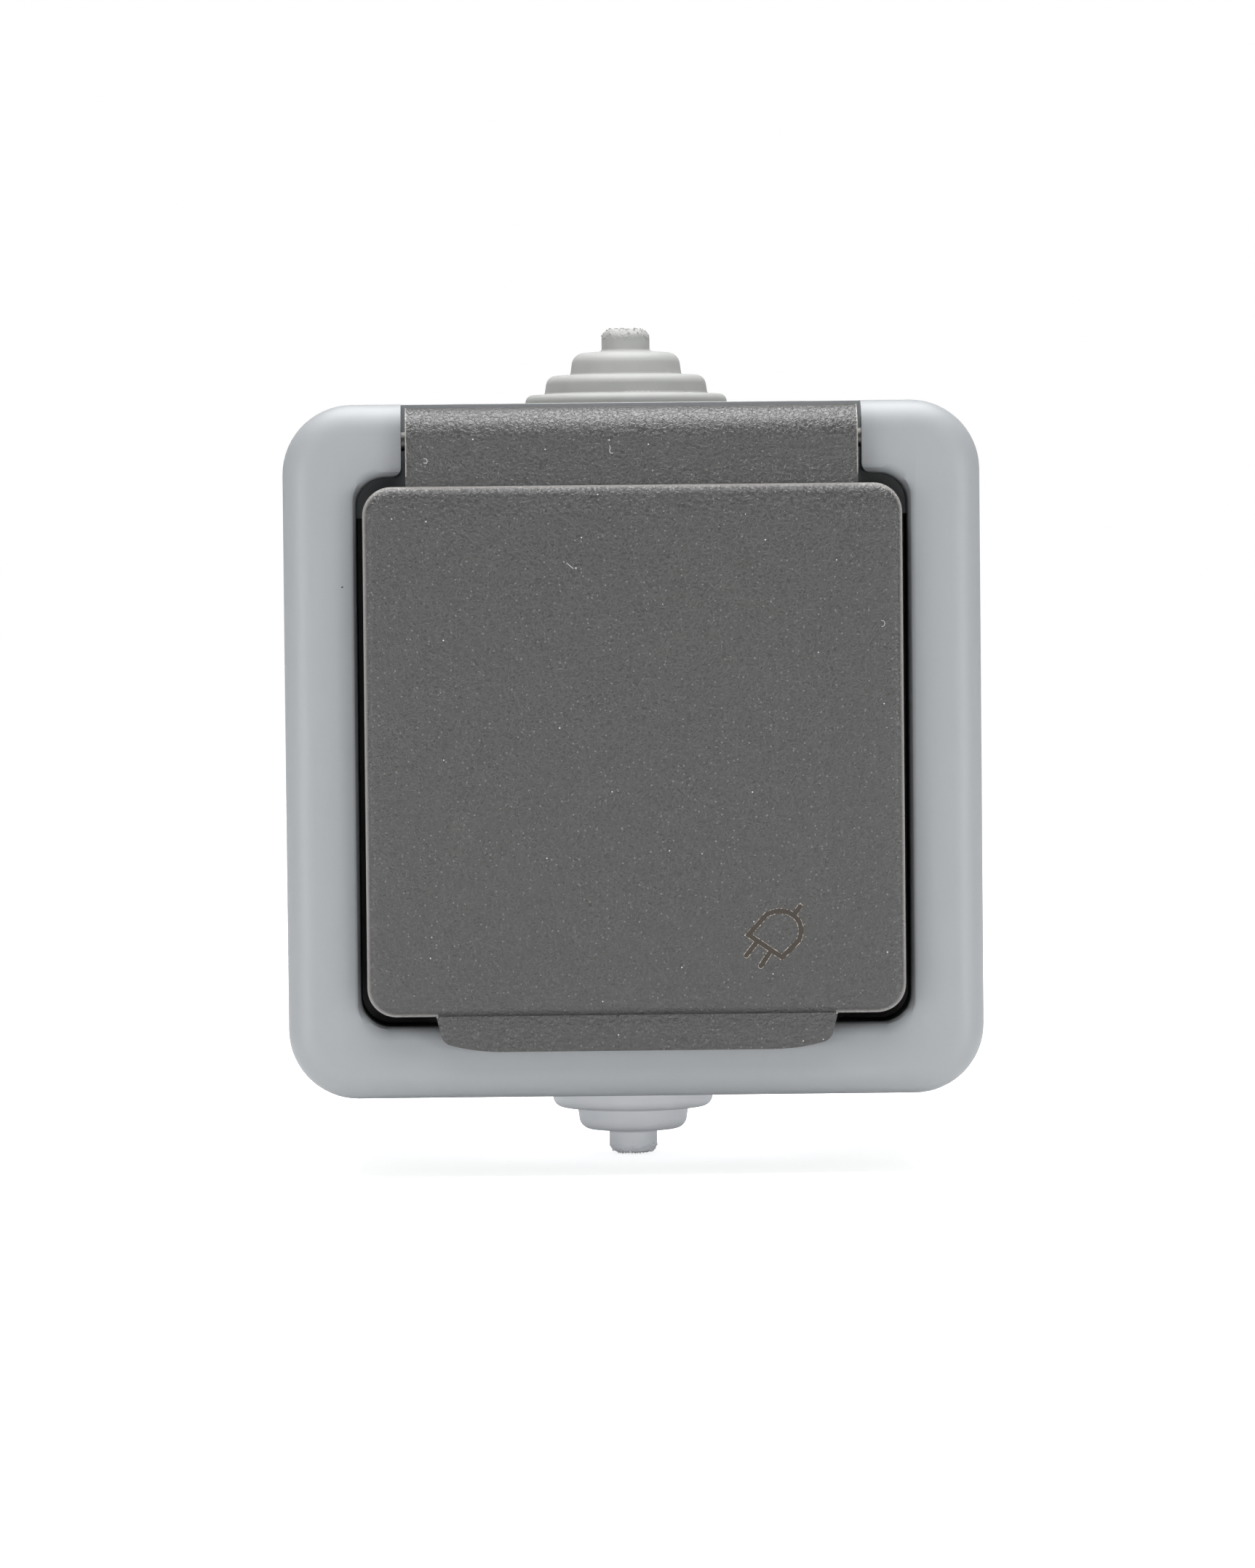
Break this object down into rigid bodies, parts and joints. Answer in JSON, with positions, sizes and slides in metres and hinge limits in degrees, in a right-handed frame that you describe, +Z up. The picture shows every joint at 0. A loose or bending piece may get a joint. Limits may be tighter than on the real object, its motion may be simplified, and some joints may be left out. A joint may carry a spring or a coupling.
{
  "type": "weatherproof socket outlet",
  "caption": "Surface-mounted splash-proof socket outlet: square box and frame, sprung hinged lid over a round earthed plug well, stepped cable membranes above and below.",
  "frame": {"origin": "centre of the box's rear face, on the wall", "axes": "+Z up, +Y into the wall, -Y out of the front, +X to the right seen from the front"},
  "size_m": [0.07, 0.0516, 0.086],
  "materials": {
    "housing_grey": "fine matt moulded, light grey",
    "lid_grey": "spark-eroded grain, dark grey",
    "membrane_grey": "soft matt, light grey",
    "seal_black": "matt black",
    "base_white": "moulded, off-white",
    "pin_steel": "drawn wire",
    "spring_steel": "drawn spring wire",
    "strap_steel": "plated strip",
    "screw_zinc": "zinc-plated",
    "contact_brass": "stamped strip"
  },
  "bodies": {
    "housing": {"back_box": "housing_grey", "base_screw_left": "screw_zinc", "base_screw_right": "screw_zinc", "cable_grommet_bottom": "membrane_grey", "cable_grommet_top": "membrane_grey", "contact_base": "base_white", "cover_frame": "housing_grey", "earth_clamp_plate": "contact_brass", "earth_strap": "strap_steel", "earth_terminal_screw": "screw_zinc", "face_screw": "screw_zinc", "frame_gasket": "seal_black", "frame_screw_bottom_left": "screw_zinc", "frame_screw_bottom_right": "screw_zinc", "frame_screw_top_left": "screw_zinc", "frame_screw_top_right": "screw_zinc", "hinge_pin": "pin_steel", "lid_spring_left": "spring_steel", "lid_spring_right": "spring_steel", "live_clamp_plate": "contact_brass", "live_contact": "contact_brass", "live_terminal_screw": "screw_zinc", "neutral_clamp_plate": "contact_brass", "neutral_contact": "contact_brass", "neutral_terminal_screw": "screw_zinc", "socket_face": "housing_grey"},
    "lid": {"lid": "lid_grey", "lid_gasket": "seal_black"}
  },
  "joints": [
    {"name": "lid_hinge", "type": "hinge", "parent": "housing", "child": "lid", "pos_m": [0, -0.0469, 0.0312], "axis": [-1, 0, 0], "range_deg": [0, 110], "stiffness_Nm_per_rad": 0.02, "springref_deg": -57.3, "deforming": ["lid_spring_left", "lid_spring_right"]}
  ]
}
